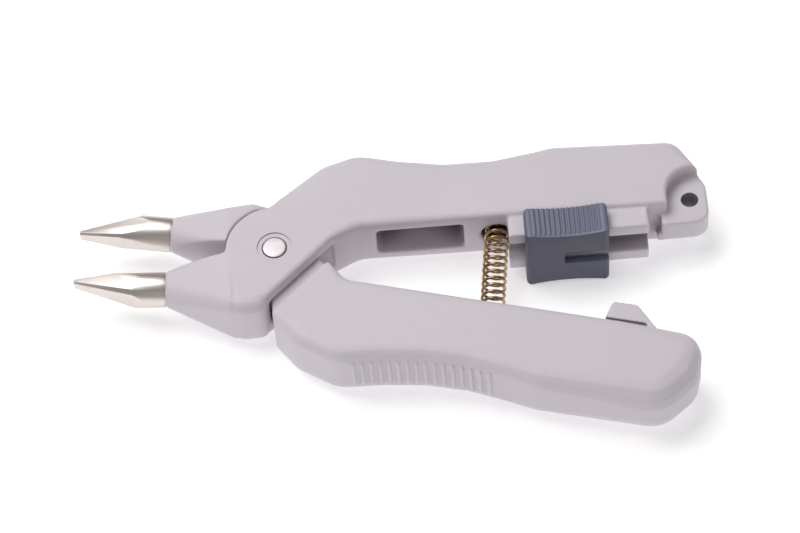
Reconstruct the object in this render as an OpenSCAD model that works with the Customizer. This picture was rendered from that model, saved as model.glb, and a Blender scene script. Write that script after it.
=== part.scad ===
// Small spring-loaded fine-nose pliers with a slide lock.
// Origin: on the pivot axis, in the plane of the levers' lower faces.
// +X runs along the upper lever towards the lanyard eye, +Z is the pivot axis.

/* [Levers] */
// Thickness of both levers
lever_t = 14; // [13:0.5:15]
// Thickness of each cheek of the box joint
cheek_t = 3; // [2.6:0.1:3.2]
// Gap between each cheek and the tongue
cheek_gap = 0.15; // [0.1:0.05:0.3]

/* [Pivot] */
// Diameter of the pivot pin
pin_d = 5; // [4:0.1:5.4]
// Radial clearance of the pin in the tongue
pin_gap = 0.05; // [0.02:0.01:0.1]
// Angle that the jaws are open at rest
open_angle = 15; // [13:0.5:15]

/* [Steel tips] */
// Diameter of the round bar that the tips are ground from
bar_d = 7.4; // [7:0.1:7.6]
// Distance of the tips' ends from the pivot
tip_reach = 42.7; // [40:0.1:44]
// Width of a tip's end across the jaws
tip_end_w = 1; // [0.8:0.1:1.4]
// Height of a tip's end along the pivot axis
tip_end_h = 2.4; // [2:0.1:3.2]

/* [Lock] */
// Length of the lock slider
slider_l = 17.5; // [16.5:0.1:17.6]
// Thickness of the lock slider
slider_t = 18; // [17:0.1:19]

/* [Lanyard eye] */
// Diameter of the lanyard hole
eye_d = 3.7; // [3:0.1:4.2]
// Thickness of the lanyard lug
lug_t = 6; // [5:0.5:7]

/* [Spring] */
// Outer diameter of the spring
spring_d = 5.3; // [4.8:0.1:5.5]
// Diameter of the spring wire
wire_d = 0.65; // [0.5:0.05:0.8]
// Number of turns
spring_turns = 18; // [14:1:20]

/* [Hidden] */

eps = 0.01;
mid_z = lever_t / 2;
plastic_color = [0.80, 0.77, 0.80];
slider_color = [0.40, 0.42, 0.52];
steel_color = [0.86, 0.84, 0.82];
spring_color = [0.55, 0.45, 0.32];

// Rounding
corner_step = 12;
fillet_steps = 3;
edge_r = 2.4;
inner_r = 0.8;

// Box joint
hub_r = 10.25;
tongue_r = 8.6;
joint_gap = 0.15;
hub_fillet = 0.2;
tongue_z = cheek_t + cheek_gap;
tongue_t = lever_t - 2 * tongue_z;
counterbore_d = 7.3;
counterbore_depth = 0.4;

// Jaws: the closing plane is Y = 0 on the upper lever
closing_gap = 0.08;
socket_x = -23.3;
socket_y = -3.9;
socket_d = 7.5;
bar_slope = 4;
collar_l = 4;
tang_d = 4.4;
tang_l = 9;
tip_end_y = -0.6;
tip_chamfer = 1.0;
tip_end_chamfer = 0.3;

// Rail and lock
rail_x0 = 48.9;
rail_x1 = 78.3;
rail_front = -1.5;
rail_rear = 2.6;
rail_margin = 0.8;
rail_groove = 0.8;
wall_y = 3.4;
channel_w = 5.8;
channel_y = 3.1;
bump_xs = [71.0, 77.6];
bump_r = 0.3;
bump_y0 = 1.0;
bump_y1 = 2.4;
slide_gap = 0.15;
slider_x = 52.2;
slider_front = -4.05;
slider_rear = 3.2;
slider_window_w = 3.8;
slider_window_l = 9.4;
slider_thin = 1.05;
slider_corner = 0.9;
pad_l = 15.4;
pad_depth = 0.9;
pad_rim = 0.7;
pad_pitch = 1.04;
pad_count = 14;
pad_rib_r = 0.28;

// Moulding relief in the upper lever's inner wall
hollow_x0 = 21.3;
hollow_x1 = 39.7;
hollow_z0 = 2.9;
hollow_y = 13;

// Hook on the lower lever
wall_slope = -15.4;
wall_x = 66.7;
wall_h = -23.2;
hook_w = 5.2;
hook_web_w = 3.2;
hook_undercut = 2.3;

// Lanyard lug
lug_z = (lever_t - lug_t) / 2;
eye_x = 87.5;
eye_y = 6.2;
lug_step_r = 6;
lug_step_x = 88.5;
lug_step_fillet = 0.5;
lug_x = 81.1;
lug_tab = [0.8, 3.5, 2.6];
lug_tab_z = 3.2;

// Spring axis, from its seat in the upper lever to its seat in the lower one
seat_top = [47.2, 9.2, mid_z];
seat_low = [43.75, -20, mid_z];
seat_d = 6.4;
seat_top_depth = 12.5;
seat_low_depth = 6;
turn_sides = 12;
wire_sides = 6;

// Grip ribs on the lower lever
rib_count = 16;
rib_pitch = 1.84;
rib_d = 0.9;
rib_l = 8.4;
rib_x = 14.6;

// Outlines. Each point is [x, y, corner radius, edge fillet].
hub_arc = [for (a = [94:8:174]) [hub_r * cos(a), hub_r * sin(a), 0, hub_fillet]];
step_arc = [
    for (a = [180:-15:75])
        let (fillet = a > 75 ? lug_step_fillet : edge_r)
        [lug_step_x + lug_step_r * cos(a), eye_y + lug_step_r * sin(a), 0, fillet]
];
upper_outline = concat(
    [
        [85.7, 19.6, 4.0, edge_r],
        [59.2, 20.7, 5.0, edge_r], [41.7, 16.4, 60, edge_r], [18.5, 22.65, 8.0, edge_r], [10.6, 20.2, 6.0, edge_r]
    ],
    hub_arc,
    [
        [-10.4, -1.2, 0, inner_r], [-10.4, -13.6, 0, edge_r], [-7.6, -14.5, 3.5, edge_r], [-2.9, -14.3, 2.6, edge_r],
        [-1.7, -11.7, 1.0, 0.8], [12.1, 1.3, 1.0, 0.9], [17.8, 3.7, 6.0, 1.6],
        [lug_step_x - lug_step_r, wall_y, 0, lug_step_fillet]
    ],
    step_arc
);
lower_outline = [
    [10.9, -4.1, 0.8, 0.6], [-1.5, -15.7, 1.0, 0.8], [2.6, -22.6, 8.0, edge_r], [11.0, -28.1, 8.0, edge_r],
    [34, -28.8, 60, 2.6], [51, -37.4, 6.0, 3.0], [76.5, -45.0, 7.0, 4.5], [84.3, -38.9, 4.7, 4.5],
    [86.9, -28.8, 5.2, 3.4], [70.0, wall_h + (70 - wall_x) * tan(wall_slope), 0, 2.0],
    [14.4, -8.8, 4.0, 1.6]
];

// Spaces beside the tongue, cut out of the upper lever between its cheeks
tongue_spaces = [
    [[-0.35, -closing_gap], [-0.35, 12], [-30, 12], [-30, -closing_gap]],
    [[-1.9, 0], [-1.9, -20], [12.25, -20], [12.25, 1.7], [8, 1.7], [0, 0]]
];

function unit(v) = v / norm(v);
function left_of(v) = [-v[1], v[0]];

// Points of one rounded corner, each [x, y, edge fillet]
function corner(a, p, b) =
    let (
        pa = [a[0], a[1]],
        pp = [p[0], p[1]],
        pb = [b[0], b[1]],
        u = unit(pp - pa),
        v = unit(pb - pp),
        turn = atan2(u[0] * v[1] - u[1] * v[0], u * v),
        side = turn < 0 ? -1 : 1,
        start = pp - u * p[2] * tan(abs(turn) / 2),
        centre = start + left_of(u) * side * p[2],
        steps = max(1, ceil(abs(turn) / corner_step))
    )
    p[2] == 0
        ? [[pp[0], pp[1], p[3]]]
        : [
            for (i = [0:steps])
                let (
                    t = turn * i / steps,
                    d = (start - centre)
                )
                [
                    centre[0] + d[0] * cos(t) - d[1] * sin(t),
                    centre[1] + d[0] * sin(t) + d[1] * cos(t),
                    p[3]
                ]
        ];

function rounded(points) =
    let (n = len(points))
    [for (i = [0:n - 1]) each corner(points[(i + n - 1) % n], points[i], points[(i + 1) % n])];

// A point of the outline moved inwards along the mean normal of its two sides
function inset(points, i, depth) =
    let (
        n = len(points),
        p = [points[i][0], points[i][1]],
        q = points[(i + n - 1) % n],
        r = points[(i + 1) % n],
        u = unit(p - [q[0], q[1]]),
        v = unit([r[0], r[1]] - p),
        w = unit(left_of(u) + left_of(v))
    )
    p + w * depth / max(0.5, w * left_of(u));

// Twice the area of the triangle a, b, c; positive when it turns left
function turn_area(a, b, c) = (b[0] - a[0]) * (c[1] - a[1]) - (b[1] - a[1]) * (c[0] - a[0]);

function in_triangle(p, a, b, c) =
    turn_area(a, b, p) >= 0 && turn_area(b, c, p) >= 0 && turn_area(c, a, p) >= 0;

// Corner i of the index list ids with its two neighbours
function triple(ids, i) = let (n = len(ids)) [ids[(i + n - 1) % n], ids[i], ids[(i + 1) % n]];

function is_ear(points, ids, i) =
    let (
        t = triple(ids, i),
        a = points[t[0]],
        b = points[t[1]],
        c = points[t[2]]
    )
    turn_area(a, b, c) > 0
        && len([for (k = ids) if (k != t[0] && k != t[1] && k != t[2] && in_triangle(points[k], a, b, c)) k]) == 0;

// Triangles that fill a face: the ear with the shortest cut is taken off until one triangle is left
function face_triangles(points, ids) =
    len(ids) == 3
        ? [ids]
        : let (
            ears = [for (i = [0:len(ids) - 1]) if (is_ear(points, ids, i)) i],
            cuts = [for (i = ears) let (t = triple(ids, i)) norm(points[t[2]] - points[t[0]])],
            best = ears[search(min(cuts), cuts)[0]]
        )
        concat([triple(ids, best)], face_triangles(points, [for (k = [0:len(ids) - 1]) if (k != best) ids[k]]));

// Plate with a filleted edge at its lower and upper face
module filleted_plate(points, height) {
    outline = rounded(points);
    n = len(outline);
    ring_angles = [for (k = [0:fillet_steps]) 90 * k / fillet_steps];
    rings = concat(
        [for (a = ring_angles) [1 - sin(a), 1 - cos(a), 0]],
        [for (k = [fillet_steps:-1:0]) [1 - sin(ring_angles[k]), 1 - cos(ring_angles[k]), 1]]
    );
    m = len(rings);
    vertices = [
        for (ring = rings)
            for (i = [0:n - 1])
                let (
                    e = outline[i][2],
                    p = inset(outline, i, e * ring[0])
                )
                [p[0], p[1], ring[2] == 0 ? e * ring[1] : height - e * ring[1]]
    ];
    sides = [
        for (k = [0:m - 2])
            for (i = [0:n - 1])
                let (j = (i + 1) % n)
                each [
                    [k * n + i, (k + 1) * n + i, (k + 1) * n + j],
                    [k * n + i, (k + 1) * n + j, k * n + j]
                ]
    ];
    face = [for (i = [0:n - 1]) inset(outline, i, outline[i][2])];
    triangles = face_triangles(face, [for (i = [0:n - 1]) i]);
    top = [for (t = triangles) [for (k = [2:-1:0]) (m - 1) * n + t[k]]];
    polyhedron(vertices, concat(sides, triangles, top), convexity = 8);
}

// Straight prism with a rounded outline
module rounded_prism(points, height) {
    linear_extrude(height) polygon([for (p = rounded(points)) [p[0], p[1]]]);
}

// Places children drawn for the upper side onto the lower lever, at rest
module lower_side() {
    rotate([0, 0, -open_angle]) mirror([0, 1, 0]) children();
}

// Frame of a tip's round bar: +Z points to the nose, +X is the pivot axis
module bar_frame() {
    translate([socket_x, socket_y, mid_z])
        rotate([0, 0, -bar_slope])
            rotate([0, -90, 0])
                children();
}

// Everything beyond the closing plane of the upper side's jaw
module beyond_closing_plane() {
    translate([-60, -closing_gap, -lever_t]) cube([60, 40, 3 * lever_t]);
}

// Upright slice of a jaw's root with rounded corners
module jaw_root(x, y_out, y_in, r_out, r_in) {
    for (z_side = [0, 1]) {
        translate([x, y_out + r_out, z_side == 0 ? r_out : lever_t - r_out])
            rotate([0, 90, 0]) cylinder(r = r_out, h = 0.5, $fn = 32);
        translate([x, y_in - r_in, z_side == 0 ? r_in : lever_t - r_in])
            rotate([0, 90, 0]) cylinder(r = r_in, h = 0.5, $fn = 32);
    }
}

module socket_end() {
    bar_frame() translate([0, 0, -0.5]) cylinder(d = socket_d, h = 0.5, $fn = 32);
}

module tang_bore() {
    bar_frame() translate([0, 0, -tang_l]) cylinder(d = tang_d, h = tang_l + 1, $fn = 64);
}

module upper_jaw() {
    difference() {
        hull() {
            socket_end();
            jaw_root(-9.9, -13.9, 1.0, edge_r, inner_r);
        }
        beyond_closing_plane();
    }
}

// Lower lever's jaw with its full-thickness shoulder outside the cheeks
module lower_jaw() {
    difference() {
        hull() {
            lower_side() socket_end();
            mirror([0, 1, 0]) {
                jaw_root(-9.4, -11.9, -1.2, 2.2, inner_r);
                jaw_root(-4.5, -12.15, -4, 1.8, inner_r);
            }
            translate([-1.5, 10, inner_r]) cylinder(r = inner_r, h = lever_t - 2 * inner_r, $fn = 32);
        }
        lower_side() beyond_closing_plane();
        cheek_clearance();
    }
}

// Space taken by the upper lever's two cheeks, with the joint gap
module cheek_clearance() {
    for (z = [-1, lever_t - tongue_z]) {
        translate([0, 0, z]) cylinder(r = hub_r + joint_gap, h = tongue_z + 1, $fn = 96);
    }
}

module pin_counterbores() {
    for (z = [-1, lever_t - counterbore_depth]) {
        translate([0, 0, z]) cylinder(d = counterbore_d, h = counterbore_depth + 1, $fn = 64);
    }
}

module rail() {
    difference() {
        translate([rail_x0, rail_front, rail_margin])
            cube([rail_x1 - rail_x0, wall_y - rail_front + 1, lever_t - 2 * rail_margin]);
        for (z = [0, lever_t - rail_margin - rail_groove]) {
            translate([rail_x0 - 1, rail_rear, z])
                cube([rail_x1 - rail_x0 + 2, wall_y - rail_rear, rail_margin + rail_groove]);
        }
    }
    for (x = bump_xs) {
        for (z = [rail_margin, lever_t - rail_margin]) {
            translate([x, bump_y0, z])
                rotate([-90, 0, 0]) cylinder(r = bump_r, h = bump_y1 - bump_y0, $fn = 24);
        }
    }
}

module lug() {
    translate([0, 0, lug_z])
        rounded_prism([
            [lug_x, 0.5, 0.6, 0], [91.3, 0.6, 3.2, 0], [91.3, 9.9, 5.0, 0], [89.4, 13, 0, 0], [lug_x, 13, 0, 0]
        ], lug_t);
    translate([lug_x - lug_tab[0], wall_y + 1 - lug_tab[1], lug_tab_z]) cube(lug_tab + [0.5, 0, 0]);
}

// Round seat for one end of the spring, from its floor towards the other lever
module spring_seat(floor, towards, depth) {
    axis = towards - floor;
    translate(floor)
        rotate([0, 0, atan2(axis[1], axis[0])])
            rotate([0, 90, 0]) cylinder(d = seat_d, h = depth, $fn = 64);
}

module handle_hollow() {
    z1 = lever_t - hollow_z0;
    translate([0, hollow_y, 0])
        rotate([90, 0, 0])
            rounded_prism([
                [hollow_x0, hollow_z0, 1.2, 0], [hollow_x1, hollow_z0, 0.6, 0],
                [hollow_x1, z1, 0.6, 0], [hollow_x0, z1, 1.2, 0]
            ], hollow_y - 1);
}

module upper_lever() {
    color(plastic_color)
    difference() {
        union() {
            filleted_plate(upper_outline, lever_t);
            upper_jaw();
            rail();
            lug();
        }
        translate([0, 0, cheek_t]) {
            for (space = tongue_spaces) linear_extrude(lever_t - 2 * cheek_t) polygon(space);
            cylinder(r = tongue_r + joint_gap, h = lever_t - 2 * cheek_t, $fn = 96);
        }
        translate([0, 0, -1]) cylinder(d = pin_d, h = lever_t + 2, $fn = 64);
        pin_counterbores();
        tang_bore();
        handle_hollow();
        spring_seat(seat_top, seat_low, seat_top_depth);
        translate([rail_x0 - 1, rail_front - 1, mid_z - channel_w / 2])
            cube([rail_x1 - rail_x0 + 2, channel_y - rail_front + 1, channel_w]);
        translate([eye_x, eye_y, -1]) cylinder(d = eye_d, h = lever_t + 2, $fn = 64);
    }
}

// Frame on the lower lever's inner wall: +X along the wall, +Y towards the upper lever
module wall_frame() {
    translate([wall_x, wall_h, 0]) rotate([0, 0, wall_slope]) children();
}

module hook() {
    wall_frame() {
        translate([0, 0, mid_z - hook_w / 2])
            rounded_prism([
                [-0.2, hook_undercut, 0, 0], [8.6, hook_undercut, 0, 0], [8.6, -1, 0, 0], [13.2, -1, 0, 0],
                [11.9, 0.4, 2.5, 0], [5.9, 6.5, 1.2, 0], [0.7, 6.4, 1.2, 0]
            ], hook_w);
        translate([0.3, -1, mid_z - hook_web_w / 2])
            cube([8.6, hook_undercut + 1.5, hook_web_w]);
    }
}

module tongue() {
    translate([0, 0, tongue_z])
        linear_extrude(tongue_t)
            union() {
                circle(r = tongue_r, $fn = 96);
                polygon([[0, 4], [8.5, -0.9], [11.1, -4.1], [12, -6], [0, -17], [-1.3, -14.5], [-1.3, -5]]);
                polygon([[0, 0], [-0.8, 4], [-0.8, 10.4], [-3.6, 11.6], [-9.4, 11], [-10.2, 3.1], [-5, 1.7]]);
            }
}

// Outer wall of the lower lever as [x, y] pairs, for placing the ribs
outer_wall = [
    for (p = rounded(lower_outline))
        if (p[1] < -25 && p[0] > 9 && p[0] < 52) [p[0], p[1]]
];

module grip_ribs() {
    for (i = [0:rib_count - 1]) {
        x = rib_x + i * rib_pitch;
        translate([x, lookup(x, outer_wall) + 0.1, mid_z - rib_l / 2])
            cylinder(d = rib_d, h = rib_l, $fn = 16);
    }
}

module lower_lever() {
    color(plastic_color)
    difference() {
        union() {
            filleted_plate(lower_outline, lever_t);
            lower_jaw();
            tongue();
            hook();
            grip_ribs();
        }
        translate([0, 0, -1]) cylinder(d = pin_d + 2 * pin_gap, h = lever_t + 2, $fn = 64);
        lower_side() tang_bore();
        spring_seat(seat_low, seat_top, seat_low_depth);
    }
}

// Section across a tip's bar: w across the jaws, h along the pivot axis
module tip_section(w, h, chamfer) {
    linear_extrude(eps)
        polygon([
            [h / 2 - chamfer, w / 2], [chamfer - h / 2, w / 2], [-h / 2, w / 2 - chamfer],
            [-h / 2, chamfer - w / 2], [chamfer - h / 2, -w / 2], [h / 2 - chamfer, -w / 2],
            [h / 2, chamfer - w / 2], [h / 2, w / 2 - chamfer]
        ]);
}

// Steel tip of the upper side: round collar, eight-sided taper and tang
module tip() {
    difference() {
        intersection() {
            bar_frame() cylinder(d = bar_d, h = tip_reach, $fn = 64);
            hull() {
                bar_frame() tip_section(bar_d + 1, bar_d + 1, tip_chamfer);
                bar_frame() translate([0, 0, collar_l]) tip_section(bar_d + 0.1, bar_d + 0.1, tip_chamfer);
                translate([-tip_reach, tip_end_y, mid_z])
                    rotate([0, -90, 0]) tip_section(tip_end_w, tip_end_h, tip_end_chamfer);
            }
        }
        beyond_closing_plane();
    }
    bar_frame() translate([0, 0, -tang_l]) cylinder(d = tang_d, h = tang_l + 0.5, $fn = 64);
}

module upper_tip() {
    color(steel_color) lower_side() tip();
}

module lower_tip() {
    color(steel_color) tip();
}

module pivot_pin() {
    r = pin_d / 2;
    c = 0.15;
    color(steel_color)
        rotate_extrude($fn = 64)
            polygon([[0, 0], [r - c, 0], [r, c], [r, lever_t - c], [r - c, lever_t], [0, lever_t]]);
}

// Distance along the spring's axis after t turns: one closed turn at each end
function spring_rise(t, length) =
    let (
        closed = wire_d * 1.05,
        open = (length - 2 * closed) / (spring_turns - 2)
    )
    t < 1 ? t * closed
        : t > spring_turns - 1 ? length - (spring_turns - t) * closed
            : closed + (t - 1) * open;

module return_spring() {
    axis = seat_low - seat_top;
    length = norm(axis) - wire_d - 0.1;
    coil_r = (spring_d - wire_d) / 2;
    n = spring_turns * turn_sides;
    vertices = [
        for (i = [0:n])
            let (
                a = 360 * i / turn_sides,
                z = wire_d / 2 + 0.05 + spring_rise(i / turn_sides, length)
            )
            for (k = [0:wire_sides - 1])
                let (
                    b = 360 * k / wire_sides,
                    r = coil_r + wire_d / 2 * cos(b)
                )
                [r * cos(a), r * sin(a), z + wire_d / 2 * sin(b)]
    ];
    sides = [
        for (i = [0:n - 1])
            for (k = [0:wire_sides - 1])
                let (
                    j = (k + 1) % wire_sides,
                    p = i * wire_sides,
                    q = p + wire_sides
                )
                each [[p + k, p + j, q + j], [p + k, q + j, q + k]]
    ];
    caps = [
        [for (k = [wire_sides - 1:-1:0]) k],
        [for (k = [0:wire_sides - 1]) n * wire_sides + k]
    ];
    color(spring_color)
        translate(seat_top)
            rotate([0, 0, atan2(axis[1], axis[0])])
                rotate([0, 90, 0])
                    polyhedron(vertices, concat(sides, caps), convexity = 10);
}

// Dished and ribbed thumb pad, cut into one face of the slider
module pad_dish() {
    r = (pad_l * pad_l / 4 + pad_depth * pad_depth) / (2 * pad_depth);
    mid_x = slider_x + slider_l / 2;
    difference() {
        translate([mid_x, slider_front - 1, mid_z + slider_t / 2 + r - pad_depth])
            rotate([-90, 0, 0]) cylinder(r = r, h = slider_rear - slider_front + 2, $fn = 128);
        for (i = [0:pad_count - 1]) {
            dx = (i - (pad_count - 1) / 2) * pad_pitch;
            translate([
                mid_x + dx, slider_front + pad_rim, mid_z + slider_t / 2 - pad_depth + r - sqrt(r * r - dx * dx)
            ])
                rotate([-90, 0, 0]) cylinder(r = pad_rib_r, h = slider_rear - slider_front + 2, $fn = 16);
        }
    }
}

// Outer shape of the slider, rounded as seen from above and from the front
module slider_block() {
    x1 = slider_x + slider_l;
    r = slider_corner;
    intersection() {
        translate([0, 0, mid_z - slider_t / 2])
            rounded_prism([
                [slider_x, slider_front, r, 0], [x1, slider_front, r, 0],
                [x1, slider_rear, r, 0], [slider_x, slider_rear, r, 0]
            ], slider_t);
        translate([0, slider_rear, mid_z])
            rotate([90, 0, 0])
                rounded_prism([
                    [slider_x, -slider_t / 2, r, 0], [x1, -slider_t / 2, r, 0],
                    [x1, slider_t / 2, r, 0], [slider_x, slider_t / 2, r, 0]
                ], slider_rear - slider_front);
    }
}

module lock_slider() {
    flange_t = lever_t - 2 * rail_margin;
    cavity_z = rail_margin - slide_gap;
    neck_t = flange_t - 2 * rail_groove;
    run = slider_l + 2;
    color(slider_color)
    difference() {
        slider_block();
        translate([slider_x - 1, rail_front - slide_gap, cavity_z])
            cube([run, rail_rear - rail_front + 2 * slide_gap, flange_t + 2 * slide_gap]);
        translate([slider_x - 1, bump_y0 - 0.2, rail_margin - bump_r - 0.1])
            cube([run, rail_rear + slide_gap - bump_y0 + 0.2, flange_t + 2 * bump_r + 0.2]);
        translate([slider_x - 1, rail_rear, mid_z - neck_t / 2 - slide_gap])
            cube([run, 2, neck_t + 2 * slide_gap]);
        translate([slider_x - 1, slider_front + slider_thin, mid_z - channel_w / 2 - 0.1])
            cube([run, 3, channel_w + 0.2]);
        translate([slider_x + slider_l - slider_window_l, slider_front - 1, mid_z - slider_window_w / 2])
            cube([slider_window_l + 1, slider_thin + 2, slider_window_w]);
        pad_dish();
        translate([0, 0, lever_t]) mirror([0, 0, 1]) pad_dish();
    }
}

upper_lever();
lower_lever();
upper_tip();
lower_tip();
pivot_pin();
return_spring();
lock_slider();
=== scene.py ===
import math

import bmesh
import bpy
import numpy as np
from mathutils import Matrix, Vector
from mathutils.bvhtree import BVHTree


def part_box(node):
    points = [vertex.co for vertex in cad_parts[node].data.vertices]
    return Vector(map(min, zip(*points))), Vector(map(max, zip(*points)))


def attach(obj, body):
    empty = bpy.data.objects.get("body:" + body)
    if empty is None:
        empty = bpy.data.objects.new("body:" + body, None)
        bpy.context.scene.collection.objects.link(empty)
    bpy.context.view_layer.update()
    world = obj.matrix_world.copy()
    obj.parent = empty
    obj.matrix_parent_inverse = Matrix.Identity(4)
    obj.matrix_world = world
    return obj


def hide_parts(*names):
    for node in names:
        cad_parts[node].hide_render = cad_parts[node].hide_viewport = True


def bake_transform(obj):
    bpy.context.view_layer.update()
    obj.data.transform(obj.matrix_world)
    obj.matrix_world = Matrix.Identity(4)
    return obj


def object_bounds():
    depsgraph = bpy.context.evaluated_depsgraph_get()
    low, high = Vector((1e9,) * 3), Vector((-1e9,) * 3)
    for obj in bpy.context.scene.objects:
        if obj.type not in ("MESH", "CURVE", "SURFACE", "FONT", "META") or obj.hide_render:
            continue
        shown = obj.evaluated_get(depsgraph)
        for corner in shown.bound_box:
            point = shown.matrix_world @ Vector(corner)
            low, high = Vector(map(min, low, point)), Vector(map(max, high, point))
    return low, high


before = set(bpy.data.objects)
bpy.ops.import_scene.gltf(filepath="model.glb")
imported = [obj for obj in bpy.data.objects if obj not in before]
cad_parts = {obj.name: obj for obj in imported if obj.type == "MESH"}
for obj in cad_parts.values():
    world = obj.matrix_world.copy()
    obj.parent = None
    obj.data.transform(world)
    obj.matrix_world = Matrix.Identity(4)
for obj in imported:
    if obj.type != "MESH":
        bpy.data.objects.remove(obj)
cad_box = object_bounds()

MM = 0.001
REST_ANGLE = math.radians(15)  # the lower lever's turn between closed and rest, which is open
# Painted shade: the plastic's colour is darkened in recesses, where shade falls
PAINTED_SHADE_REACH = 9  # distance in mm over which painted shade darkens a recess
PAINTED_SHADE_SAMPLES = 12
PAINTED_SHADE_TINT = [(0.0, (0.12, 0.11, 0.11)), (0.3, (0.34, 0.33, 0.33)), (0.62, (1, 1, 1))]
ROUND = 96  # segments round every turned surface
MERGE_DIST = 0.002  # mm
FLAT_ANGLE = 1  # degrees; faces that meet at less become one
BEVEL_ANGLE = 20  # degrees; edges of ground steel that turn more are bevelled
BEVEL_WIDTH = 0.1  # mm
BEVEL_SEGMENTS = 3
SHARP_STEEL = 28  # degrees; edges that turn more are shaded sharp
SHARP_PLASTIC = 50

# ---------------------------------------------------------------- node helpers


class Graph:
    """Short way to write a material's nodes."""

    def __init__(self, name):
        self.mat = bpy.data.materials.new(name)
        self.mat.use_nodes = True
        self.tree = self.mat.node_tree
        self.tree.nodes.clear()
        out = self.add("OutputMaterial")
        self.shader = self.add("BsdfPrincipled")
        self.link(self.shader.outputs[0], out.inputs[0])

    def add(self, kind, **values):
        node = self.tree.nodes.new("ShaderNode" + kind)
        for key, value in values.items():
            setattr(node, key, value)
        return node

    def link(self, a, b):
        self.tree.links.new(a, b)

    def set(self, **values):
        """Sets the shader's inputs, with _ for a space in their names."""
        for key, value in values.items():
            self.shader.inputs[key.replace("_", " ")].default_value = value

    def coords(self, scale=(1, 1, 1), rotation=(0, 0, 0)):
        """Object coordinates in millimetres, scaled and turned."""
        place = self.add("TexCoord")
        mapping = self.add("Mapping")
        mapping.inputs["Scale"].default_value = tuple(s / MM for s in scale)
        mapping.inputs["Rotation"].default_value = rotation
        self.link(place.outputs["Object"], mapping.inputs["Vector"])
        return mapping.outputs["Vector"]

    def noise(self, vector, scale, detail=3.0, roughness=0.5):
        """Noise with about scale features per mm."""
        node = self.add("TexNoise")
        node.inputs["Scale"].default_value = scale
        node.inputs["Detail"].default_value = detail
        node.inputs["Roughness"].default_value = roughness
        self.link(vector, node.inputs["Vector"])
        return node.outputs["Fac"]

    def ramp(self, value, stops):
        """Colour ramp through (place, colour) stops."""
        node = self.add("ValToRGB")
        elements = node.color_ramp.elements
        while len(elements) < len(stops):
            elements.new(0.5)
        for element, (place, colour) in zip(elements, stops):
            element.position = place
            element.color = (*colour, 1)
        self.link(value, node.inputs["Fac"])
        return node.outputs["Color"]

    def spread(self, value, low, high, source=(0.3, 0.7)):
        """Maps the source range of a value to low..high."""
        node = self.add("MapRange")
        node.inputs["From Min"].default_value = source[0]
        node.inputs["From Max"].default_value = source[1]
        node.inputs["To Min"].default_value = low
        node.inputs["To Max"].default_value = high
        self.link(value, node.inputs["Value"])
        return node.outputs["Result"]

    def mix(self, factor, a, b, blend="MIX"):
        """Mixes two colours; 0, 6, 7 and output 2 are the Mix node's colour sockets."""
        node = self.add("Mix", data_type="RGBA", blend_type=blend)
        for slot, value in ((0, factor), (6, a), (7, b)):
            if isinstance(value, tuple):
                value = (*value, 1)
            if isinstance(value, bpy.types.NodeSocket):
                self.link(value, node.inputs[slot])
            else:
                node.inputs[slot].default_value = value
        return node.outputs[2]

    def bump(self, height, distance, strength=1.0, after=None):
        """Bump of distance mm, on top of another one if given."""
        node = self.add("Bump")
        node.inputs["Strength"].default_value = strength
        node.inputs["Distance"].default_value = distance * MM
        self.link(height, node.inputs["Height"])
        if after is not None:
            self.link(after, node.inputs["Normal"])
        return node.outputs["Normal"]


def moulded_plastic(name, base, light, dark, rough, grain, coarse, painted_flat_highlight=0.0):
    """Moulded plastic: fine grain, faint flow clouds, lighter edges and painted shade in
    recesses.

    Grain and coarse are bump heights in mm, and the last argument paints a highlight that
    lightens the faces lying flat.
    """
    g = Graph(name)
    at = g.coords()
    clouds = g.noise(at, 0.045, 3.0)
    specks = g.noise(at, 3.2, 2.0)
    colour = g.mix(g.spread(clouds, 0, 1), dark, base)
    colour = g.mix(g.spread(specks, 0, 0.16), colour, light)
    geometry = g.add("NewGeometry")
    edges = g.spread(geometry.outputs["Pointiness"], 0, 0.35, (0.52, 0.62))
    colour = g.mix(edges, colour, light)
    # Painted highlight: faces that lie flat are lightened, standing in for the sheen of the top
    # light
    if painted_flat_highlight:
        parts = g.add("SeparateXYZ")
        g.link(geometry.outputs["Normal"], parts.inputs[0])
        flat = g.add("Math", operation="ABSOLUTE")
        g.link(parts.outputs["Z"], flat.inputs[0])
        colour = g.mix(g.spread(flat.outputs[0], 0, painted_flat_highlight, (0.3, 1.0)), colour, light)
    # Painted shade: ambient occlusion darkens the colour in the piece's own recesses
    painted_shade_ao = g.add("AmbientOcclusion", samples=PAINTED_SHADE_SAMPLES, only_local=True)
    painted_shade_ao.inputs["Distance"].default_value = PAINTED_SHADE_REACH * MM
    shade = g.ramp(painted_shade_ao.outputs["AO"], PAINTED_SHADE_TINT)
    colour = g.mix(1.0, colour, shade, "MULTIPLY")
    g.link(colour, g.shader.inputs["Base Color"])
    gloss = g.spread(g.noise(at, 0.35, 4.0), rough - 0.06, rough + 0.07)
    g.link(gloss, g.shader.inputs["Roughness"])
    fine = g.bump(g.noise(at, 5.5, 2.0, 0.6), grain)
    wide = g.bump(g.noise(at, 0.5, 3.0), coarse, 0.6, fine)
    g.link(wide, g.shader.inputs["Normal"])
    g.set(IOR=1.49, Specular_IOR_Level=0.42)
    return g.mat


def ground_steel(name, base, tint, rough, along):
    """Ground steel: grinding lines at an angle, a straw-coloured heat tint and faint stains."""
    g = Graph(name)
    lines = g.noise(g.coords(scale=(0.16, 7, 7), rotation=(0, 0, along)), 1.0, 4.0, 0.7)
    at = g.coords()
    stain = g.noise(at, 0.32, 3.0)
    colour = g.mix(g.spread(stain, 0, 0.8), base, tint)
    colour = g.mix(g.spread(lines, 0, 0.28), colour, tuple(0.72 * c for c in base))
    g.link(colour, g.shader.inputs["Base Color"])
    g.link(g.spread(lines, rough - 0.07, rough + 0.1), g.shader.inputs["Roughness"])
    g.link(g.bump(lines, 0.012), g.shader.inputs["Normal"])
    g.set(Metallic=1.0, Anisotropic=0.35)
    return g.mat


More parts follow.
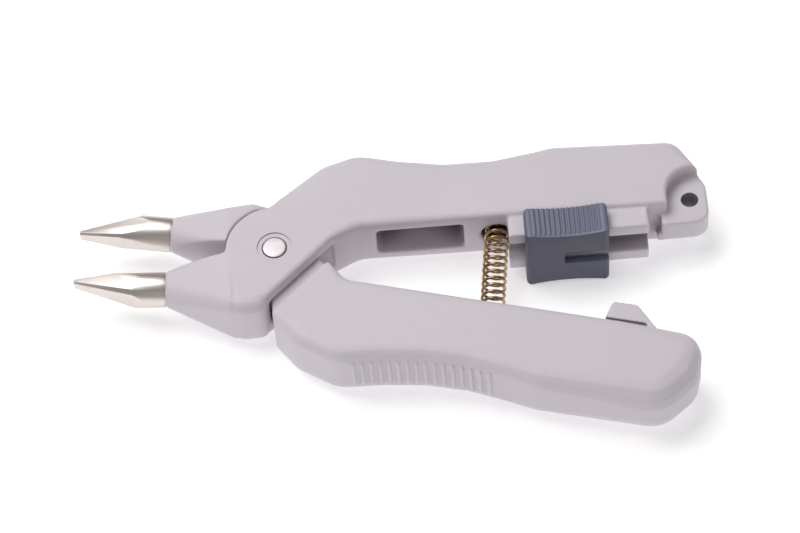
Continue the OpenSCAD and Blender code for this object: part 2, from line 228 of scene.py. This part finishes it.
def turned_steel(name, base):
    """Turned steel: concentric tool marks round the pivot axis and faint blotches."""
    g = Graph(name)
    place = g.add("TexCoord")
    wave = g.add("TexWave", wave_type="RINGS", rings_direction="Z", wave_profile="SIN")
    wave.inputs["Scale"].default_value = 1100.0
    wave.inputs["Distortion"].default_value = 1.2
    wave.inputs["Detail"].default_value = 2.0
    g.link(place.outputs["Object"], wave.inputs["Vector"])
    at = g.coords()
    blotch = g.noise(at, 0.7, 3.0)
    colour = g.mix(g.spread(blotch, 0, 1), base, tuple(0.86 * c for c in base))
    g.link(colour, g.shader.inputs["Base Color"])
    g.link(g.spread(wave.outputs["Fac"], 0.42, 0.55, (0, 1)), g.shader.inputs["Roughness"])
    g.link(g.bump(wave.outputs["Fac"], 0.012), g.shader.inputs["Normal"])
    g.set(Metallic=1.0)
    return g.mat


def spring_steel(name):
    """Drawn spring wire with a bronze-brown oxide skin."""
    g = Graph(name)
    at = g.coords()
    oxide = g.noise(at, 1.1, 4.0, 0.6)
    skin = [(0.3, (0.13, 0.075, 0.04)), (0.5, (0.40, 0.265, 0.145)), (0.7, (0.68, 0.50, 0.31))]
    colour = g.ramp(oxide, skin)
    g.link(colour, g.shader.inputs["Base Color"])
    g.link(g.spread(g.noise(at, 3.0, 2.0), 0.22, 0.4), g.shader.inputs["Roughness"])
    g.link(g.bump(g.noise(at, 7.0, 2.0), 0.01), g.shader.inputs["Normal"])
    g.set(Metallic=1.0)
    return g.mat


LEVER = moulded_plastic(
    "lever_plastic",
    base=(0.70, 0.65, 0.70),
    light=(0.80, 0.755, 0.80),
    dark=(0.672, 0.622, 0.674),
    rough=0.5,
    grain=0.03,
    coarse=0.05,
)
# The slider's flat faces get a painted highlight
SLIDER = moulded_plastic(
    "slider_plastic",
    base=(0.064, 0.067, 0.112),
    light=(0.235, 0.25, 0.34),
    dark=(0.056, 0.059, 0.10),
    rough=0.4,
    grain=0.02,
    coarse=0.03,
    painted_flat_highlight=0.72,
)
STEEL_BASE = (0.74, 0.685, 0.67)
STEEL_TINT = (0.74, 0.655, 0.60)
STEEL_ROUGH = 0.4
STEEL = ground_steel("tip_steel", STEEL_BASE, STEEL_TINT, STEEL_ROUGH, 0.0)
STEEL_TURNED = ground_steel("tip_steel_upper", STEEL_BASE, STEEL_TINT, STEEL_ROUGH, REST_ANGLE)
PIN = turned_steel("pin_steel", (0.66, 0.61, 0.635))
WIRE = spring_steel("spring_wire")

# ---------------------------------------------------------------- mesh helpers


def new_piece(name, verts, faces, body, material):
    """A piece from its points and faces, riding a body if one is given."""
    mesh = bpy.data.meshes.new(name)
    mesh.from_pydata([tuple(v) for v in verts], [], faces)
    mesh.validate()
    mesh.update()
    obj = bpy.data.objects.new(name, mesh)
    bpy.context.scene.collection.objects.link(obj)
    finish_piece(obj, material)
    if body:
        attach(obj, body)
    return obj


def finish_piece(obj, material):
    obj.data.materials.clear()
    obj.data.materials.append(material)
    obj.data.polygons.foreach_set("use_smooth", [True] * len(obj.data.polygons))


def copy_node(node, name):
    """A free copy of a CAD node's mesh with its vertices merged."""
    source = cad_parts[node]
    mesh = bpy.data.meshes.new(name)
    bm = bmesh.new()
    bm.from_mesh(source.data)
    bmesh.ops.remove_doubles(bm, verts=bm.verts, dist=MERGE_DIST * MM)
    bmesh.ops.recalc_face_normals(bm, faces=bm.faces)
    bm.to_mesh(mesh)
    bm.free()
    obj = bpy.data.objects.new(name, mesh)
    bpy.context.scene.collection.objects.link(obj)
    return obj


def apply_modifiers(obj):
    bpy.context.view_layer.update()
    graph = bpy.context.evaluated_depsgraph_get()
    mesh = bpy.data.meshes.new_from_object(obj.evaluated_get(graph))
    obj.modifiers.clear()
    old = obj.data
    obj.data = mesh
    bpy.data.meshes.remove(old)


def keep_inside(obj, node):
    """Clips a smoothed mesh to its CAD node's box."""
    low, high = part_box(node)
    co = np.empty(len(obj.data.vertices) * 3, np.float32)
    obj.data.vertices.foreach_get("co", co)
    co = co.reshape(-1, 3)
    co = np.clip(co, np.array(low), np.array(high)).astype(np.float32)
    obj.data.vertices.foreach_set("co", co.ravel())
    obj.data.update()


def cylinder(bm, x, y, r, z0, z1):
    """Adds an upright cylinder; measures in mm."""
    bmesh.ops.create_cone(
        bm,
        cap_ends=True,
        segments=ROUND,
        radius1=r * MM,
        radius2=r * MM,
        depth=(z1 - z0) * MM,
        matrix=Matrix.Translation(Vector((x, y, (z0 + z1) / 2)) * MM),
    )


def moulded(node, name, body, slot, material, voxel, rounds, plugs=(), cuts=()):
    """The CAD node as a moulded piece: an even fine mesh whose sharp edges are softened.

    Plugs close round holes before the softening, and cuts open them again with a clean edge.
    Both are lists of (x, y, radius, z0, z1) in mm, and so is the voxel size.
    """
    obj = copy_node(node, name)
    if plugs:
        bm = bmesh.new()
        bm.from_mesh(obj.data)
        for plug in plugs:
            cylinder(bm, *plug)
        bm.to_mesh(obj.data)
        bm.free()
    remesh = obj.modifiers.new("Remesh", "REMESH")
    remesh.mode = "VOXEL"
    remesh.voxel_size = voxel * MM
    remesh.adaptivity = 0
    smooth = obj.modifiers.new("Smooth", "SMOOTH")
    smooth.factor = 0.5
    smooth.iterations = rounds
    apply_modifiers(obj)
    keep_inside(obj, node)
    for cut in cuts:
        bm = bmesh.new()
        cylinder(bm, *cut)
        subtract(obj, bm)
    finish_piece(obj, material)
    if cuts:
        obj.data.set_sharp_from_angle(angle=math.radians(SHARP_PLASTIC))
    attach(obj, body)
    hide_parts(node)


def subtract(obj, bm):
    """Cuts a closed tool mesh out of the object."""
    tool_mesh = bpy.data.meshes.new("tool")
    bm.to_mesh(tool_mesh)
    bm.free()
    tool = bpy.data.objects.new("tool", tool_mesh)
    bpy.context.scene.collection.objects.link(tool)
    boolean = obj.modifiers.new("Cut", "BOOLEAN")
    boolean.operation = "DIFFERENCE"
    boolean.solver = "EXACT"
    boolean.object = tool
    apply_modifiers(obj)
    bpy.data.objects.remove(tool)
    bpy.data.meshes.remove(tool_mesh)


def ring_groove(origin, along, inner, outer, depth):
    """Closed tube mesh round an axis, for cutting a groove; measures in mm."""
    across = along.orthogonal().normalized()
    other = along.cross(across)
    bm = bmesh.new()
    rings = []
    for r, z in ((inner, 0), (outer, 0), (outer, depth), (inner, depth)):
        ring = []
        for k in range(ROUND):
            a = 2 * math.pi * k / ROUND
            out = r * (math.cos(a) * across + math.sin(a) * other)
            ring.append(bm.verts.new((origin + z * along + out) * MM))
        rings.append(ring)
    for i, low in enumerate(rings):
        high = rings[(i + 1) % len(rings)]
        for k in range(ROUND):
            j = (k + 1) % ROUND
            bm.faces.new((low[k], low[j], high[j], high[k]))
    bmesh.ops.recalc_face_normals(bm, faces=bm.faces)
    return bm


def crisp(node, name, body, material, groove):
    """The CAD node with fine bevelled edges and a groove at its socket, for ground steel."""
    obj = copy_node(node, name)
    bm = bmesh.new()
    bm.from_mesh(obj.data)
    flat = math.radians(FLAT_ANGLE)
    bmesh.ops.dissolve_limit(bm, angle_limit=flat, verts=bm.verts, edges=bm.edges)
    bm.to_mesh(obj.data)
    bm.free()
    subtract(obj, groove)
    bevel = obj.modifiers.new("Bevel", "BEVEL")
    bevel.width = BEVEL_WIDTH * MM
    bevel.segments = BEVEL_SEGMENTS
    bevel.limit_method = "ANGLE"
    bevel.angle_limit = math.radians(BEVEL_ANGLE)
    apply_modifiers(obj)
    finish_piece(obj, material)
    obj.data.set_sharp_from_angle(angle=math.radians(SHARP_STEEL))
    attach(obj, body)
    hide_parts(node)


def sweep(path, frames_u, frames_v, radius, sides):
    """Tube of quads round a path, with closed ends."""
    verts, faces = [], []
    for p, u, v in zip(path, frames_u, frames_v):
        for k in range(sides):
            a = 2 * math.pi * k / sides
            verts.append(p + radius * (math.cos(a) * u + math.sin(a) * v))
    for i in range(len(path) - 1):
        for k in range(sides):
            j = (k + 1) % sides
            a, b = i * sides, (i + 1) * sides
            faces.append((a + k, b + k, b + j, a + j))
    faces.append(tuple(range(sides)))
    last = (len(path) - 1) * sides
    faces.append(tuple(last + k for k in reversed(range(sides))))
    return verts, faces


def lathe(profile, centre):
    """Solid of revolution round +Z from (radius, z) points in mm, both ends on the axis."""
    verts = [centre + Vector((0, 0, profile[0][1])) * MM]
    ring_count = len(profile) - 2
    for r, z in profile[1:-1]:
        for k in range(ROUND):
            a = 2 * math.pi * k / ROUND
            verts.append(centre + Vector((r * math.cos(a), r * math.sin(a), z)) * MM)
    verts.append(centre + Vector((0, 0, profile[-1][1])) * MM)
    faces = []
    for k in range(ROUND):
        j = (k + 1) % ROUND
        faces.append((0, 1 + j, 1 + k))
        for i in range(ring_count - 1):
            a, b = 1 + i * ROUND, 1 + (i + 1) * ROUND
            faces.append((a + k, a + j, b + j, b + k))
        a = 1 + (ring_count - 1) * ROUND
        faces.append((a + k, a + j, len(verts) - 1))
    return verts, faces


def capsule(verts, faces, start, end, radius, sides=12, rings=3):
    """Adds a rib with rounded ends, from start to end, to the lists."""
    axis = (end - start).normalized()
    u = axis.orthogonal().normalized()
    v = axis.cross(u)
    cap = 0.08  # half angle in radians of the flat cap at each end
    profile = [(start, -1, a) for a in np.linspace(cap, math.pi / 2, rings + 1)]
    profile += [(end, 1, a) for a in np.linspace(math.pi / 2, cap, rings + 1)]
    base = len(verts)
    for centre, side, a in profile:
        for k in range(sides):
            t = 2 * math.pi * k / sides
            out = radius * math.sin(a) * (math.cos(t) * u + math.sin(t) * v)
            verts.append(centre + out + axis * (side * radius * math.cos(a) - side * radius))
    for i in range(len(profile) - 1):
        for k in range(sides):
            j = (k + 1) % sides
            a, b = base + i * sides, base + (i + 1) * sides
            faces.append((a + k, a + j, b + j, b + k))
    faces.append(tuple(base + k for k in reversed(range(sides))))
    last = base + (len(profile) - 1) * sides
    faces.append(tuple(last + k for k in range(sides)))


# ---------------------------------------------------------------- levers, tips and pin

# Measures in mm: the counterbore round the pin, the gap round its ends and the lanyard hole
LEVER_T = 14
RING_R = 3.65
RING_DEPTH = 0.3
PIN_GAP_R = 2.68
PIN_GAP_DEPTH = 1.2
EYE = (87.5, 6.2)
EYE_R = 1.85
LUG_Z = (4, 10)
RING_PLUG_R = RING_R + 0.8
RING_PLUG_DEPTH = 2
EYE_PLUG_R = EYE_R + 0.5
PAST = 1  # how far a cut runs past the face it opens
plugs = [
    (0, 0, RING_PLUG_R, 0, RING_PLUG_DEPTH),
    (0, 0, RING_PLUG_R, LEVER_T - RING_PLUG_DEPTH, LEVER_T),
    (*EYE, EYE_PLUG_R, *LUG_Z),
]
cuts = [
    (0, 0, RING_R, -PAST, RING_DEPTH),
    (0, 0, RING_R, LEVER_T - RING_DEPTH, LEVER_T + PAST),
    (0, 0, PIN_GAP_R, -PAST, PIN_GAP_DEPTH),
    (0, 0, PIN_GAP_R, LEVER_T - PIN_GAP_DEPTH, LEVER_T + PAST),
    (*EYE, EYE_R, LUG_Z[0] - PAST, LUG_Z[1] + PAST),
]
# Voxel sizes in mm, which keep each lever under 200,000 faces, and rounds of smoothing
UPPER_VOXEL, LOWER_VOXEL, LEVER_ROUNDS = 0.35, 0.33, 4
upper = ("upper_lever", "upper_lever_shell", "upper_side", "lever_plastic", LEVER)
lower = ("lower_lever", "lower_lever_shell", "lower_side", "lever_plastic", LEVER)
moulded(*upper, UPPER_VOXEL, LEVER_ROUNDS, plugs, cuts)
moulded(*lower, LOWER_VOXEL, LEVER_ROUNDS)

# The groove where a tip leaves its socket, in mm. The tips mirror each other when closed.
BAR_SLOPE = math.radians(4)
BAR = Vector((-math.cos(BAR_SLOPE), math.sin(BAR_SLOPE), 0))
SOCKET = Vector((-23.3, -3.9, 7))
GROOVE = (3.4, 4.4, 0.28)  # inner and outer radius and width
GROOVE_LEAD = 0.02  # how far it starts inside the socket
groove_at = SOCKET - GROOVE_LEAD * BAR
to_lower_side = Matrix.Rotation(-REST_ANGLE, 3, "Z") @ Matrix.Diagonal((1, -1, 1))
groove = ring_groove(groove_at, BAR, *GROOVE)
crisp("lower_tip", "lower_tip_ground", "upper_side", STEEL, groove)
groove = ring_groove(to_lower_side @ groove_at, to_lower_side @ BAR, *GROOVE)
crisp("upper_tip", "upper_tip_ground", "lower_side", STEEL_TURNED, groove)

pin_low, pin_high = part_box("pivot_pin")
pin_r = (pin_high.x - pin_low.x) / 2 / MM
pin_t = (pin_high.z - pin_low.z) / MM
# The pin's end as (radius, depth) in mm: a faint dish inside a rounded edge
PIN_DISH = 0.012
PIN_EDGE = 0.25
pin_top = [(0.4, 0.01), (pin_r - 0.35, 0.0), (pin_r - 0.14, 0.03), (pin_r - 0.04, 0.1)]
pin_profile = [(0, PIN_DISH)] + pin_top + [(pin_r, PIN_EDGE), (pin_r, pin_t - PIN_EDGE)]
pin_profile += [(r, pin_t - d) for r, d in reversed(pin_top)] + [(0, pin_t - PIN_DISH)]
pin_centre = Vector(((pin_low.x + pin_high.x) / 2, (pin_low.y + pin_high.y) / 2, pin_low.z))
verts, faces = lathe(pin_profile, pin_centre)
pin = new_piece("pivot_pin_turned", verts, faces, "upper_side", PIN)
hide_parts("pivot_pin")

# Grip ribs on the lower lever's outer wall, where the CAD ribs are; measures in mm
RIB_COUNT = 16
RIB_PITCH = 1.84
RIB_FIRST = 14.6
RIB_R = 0.42
RIB_SINK = 0.1
RIB_HALF = 4.2
RAY_START = 10  # outside the lever
RAY_SHIFT = 0.7  # off the middle plane, where faces share edges
lower_low, lower_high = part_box("lower_lever")
mid_z = (lower_low.z + lower_high.z) / 2
lower_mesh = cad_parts["lower_lever"].data
lower_points = [v.co for v in lower_mesh.vertices]
lower_tree = BVHTree.FromPolygons(lower_points, [p.vertices for p in lower_mesh.polygons])
verts, faces = [], []
for i in range(RIB_COUNT):
    x = (RIB_FIRST + i * RIB_PITCH) * MM
    origin = Vector((x, lower_low.y - RAY_START * MM, mid_z + RAY_SHIFT * MM))
    wall = lower_tree.ray_cast(origin, Vector((0, 1, 0)))[0]
    y = wall.y + RIB_SINK * MM
    start = Vector((x, y, mid_z - RIB_HALF * MM))
    end = Vector((x, y, mid_z + RIB_HALF * MM))
    capsule(verts, faces, start, end, RIB_R * MM)
new_piece("grip_ribs", verts, faces, "lower_side", LEVER)

# ---------------------------------------------------------------- spring

# Measures in mm; the axis is the long direction of the CAD node
WIRE_D = 0.65
SPRING_D = 5.3
TURNS = 18
STEPS = 36
WIRE_SIDES = 12
END_PITCH = 1.04  # of the wire's diameter, for the closed turn at each end
co = np.array([v.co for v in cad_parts["return_spring"].data.vertices], float)
centre = (co.min(0) + co.max(0)) / 2
axis = np.linalg.svd(co - co.mean(0), full_matrices=False)[2][0]
axis = axis if axis[1] < 0 else -axis
along = (co - centre) @ axis
start = Vector(centre + axis * along.min())
end = Vector(centre + axis * along.max())
w = Vector(axis).normalized()
side = Vector((0, 0, 1))
across = w.cross(side)
coil_r = (SPRING_D - WIRE_D) / 2 * MM
wire_r = WIRE_D / 2 * MM
length = (end - start).length - 2 * wire_r
closed = WIRE_D * MM * END_PITCH
pitch = (length - 2 * closed) / (TURNS - 2)


def rise(turn):
    """How far along the axis the wire is after so many turns."""
    if turn < 1:
        return turn * closed
    if turn > TURNS - 1:
        return length - (TURNS - turn) * closed
    return closed + (turn - 1) * pitch


path, us, vs = [], [], []
for i in range(TURNS * STEPS + 1):
    t = i / STEPS
    a = 2 * math.pi * t
    out = math.cos(a) * side + math.sin(a) * across
    path.append(start + w * (wire_r + rise(t)) + out * coil_r)
    us.append(out)
    vs.append(w)
verts, faces = sweep(path, us, vs, wire_r, WIRE_SIDES)
spring = new_piece("return_spring_wire", verts, faces, None, WIRE)
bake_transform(spring)
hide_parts("return_spring")

# ---------------------------------------------------------------- lock slider

SLIDER_VOXEL, SLIDER_ROUNDS = 0.15, 2
lock = ("lock_slider", "lock_slider_shell", "slider", "slider_plastic", SLIDER)
moulded(*lock, SLIDER_VOXEL, SLIDER_ROUNDS)

# ---------------------------------------------------------------- floor, light and camera

FLOOR_HALF = 3  # metres
FLOOR_DROP = 0.2  # mm below the object
corners = [(x * FLOOR_HALF, y * FLOOR_HALF, 0) for x, y in ((-1, -1), (1, -1), (1, 1), (-1, 1))]
floor_mesh = bpy.data.meshes.new("floor")
floor_mesh.from_pydata(corners, [], [(0, 1, 2, 3)])
floor = bpy.data.objects.new("floor", floor_mesh)
bpy.context.scene.collection.objects.link(floor)
floor.location.z = cad_box[0][2] - FLOOR_DROP * MM
paper = Graph("floor_paper")
paper.set(Base_Color=(0.97, 0.97, 0.97, 1), Roughness=0.9)
paper.set(Emission_Color=(1, 1, 1, 1), Emission_Strength=0.38)  # the photo's pure white ground
floor_mesh.materials.append(paper.mat)

world = bpy.data.worlds.new("studio")
bpy.context.scene.world = world
world.use_nodes = True
background = world.node_tree.nodes["Background"]
background.inputs["Color"].default_value = (1.0, 0.995, 1.0, 1)
background.inputs["Strength"].default_value = 0.24

# Name, place from the object's middle and size in metres, power in watts, and colour
LIGHTS = [
    ("key", (-0.3, 0.26, 0.87), (0.8, 0.6), 6.6, (1.0, 0.995, 0.99)),
    ("fill", (0.55, -0.5, 0.6), (0.6, 0.6), 0.35, (0.97, 0.98, 1.0)),
    ("front", (-0.15, -0.8, 0.5), (0.3, 0.22), 0.16, (1, 1, 1)),
]
middle = Vector([(a + b) / 2 for a, b in zip(*cad_box)])
for name, offset, size, power, colour in LIGHTS:
    data = bpy.data.lights.new(name, "AREA")
    data.shape = "RECTANGLE"
    data.size, data.size_y = size
    data.energy = power
    data.color = colour
    lamp = bpy.data.objects.new(name, data)
    bpy.context.scene.collection.objects.link(lamp)
    lamp.location = middle + Vector(offset)
    lamp.rotation_euler = (middle - lamp.location).to_track_quat("-Z", "Y").to_euler()

# The photograph's viewing angle in degrees, a long lens and the camera's place, all in mm
ELEVATION = 56.5
AZIMUTH = 0.5
ROLL = 5.0
LENS = 162
SENSOR = 36
CAMERA_AT = (29.4, -419.0, 635.9)
CLIP_END = 20  # metres
elevation, azimuth, roll = (math.radians(t) for t in (ELEVATION, AZIMUTH, ROLL))
ahead = math.cos(elevation)
level = Vector((math.cos(azimuth), math.sin(azimuth), 0))
forward = Vector((-math.sin(azimuth) * ahead, math.cos(azimuth) * ahead, -math.sin(elevation)))
upright = level.cross(forward)
right = math.cos(roll) * level - math.sin(roll) * upright
up = math.sin(roll) * level + math.cos(roll) * upright
camera_data = bpy.data.cameras.new("camera")
camera_data.lens = LENS
camera_data.sensor_width = SENSOR
camera_data.clip_end = CLIP_END
camera = bpy.data.objects.new("camera", camera_data)
bpy.context.scene.collection.objects.link(camera)
camera.matrix_world = Matrix(
    (
        (right.x, up.x, -forward.x, CAMERA_AT[0] * MM),
        (right.y, up.y, -forward.y, CAMERA_AT[1] * MM),
        (right.z, up.z, -forward.z, CAMERA_AT[2] * MM),
        (0, 0, 0, 1),
    )
)
bpy.context.scene.camera = camera
bpy.context.scene.view_settings.view_transform = "Standard"

bpy.context.view_layer.update()
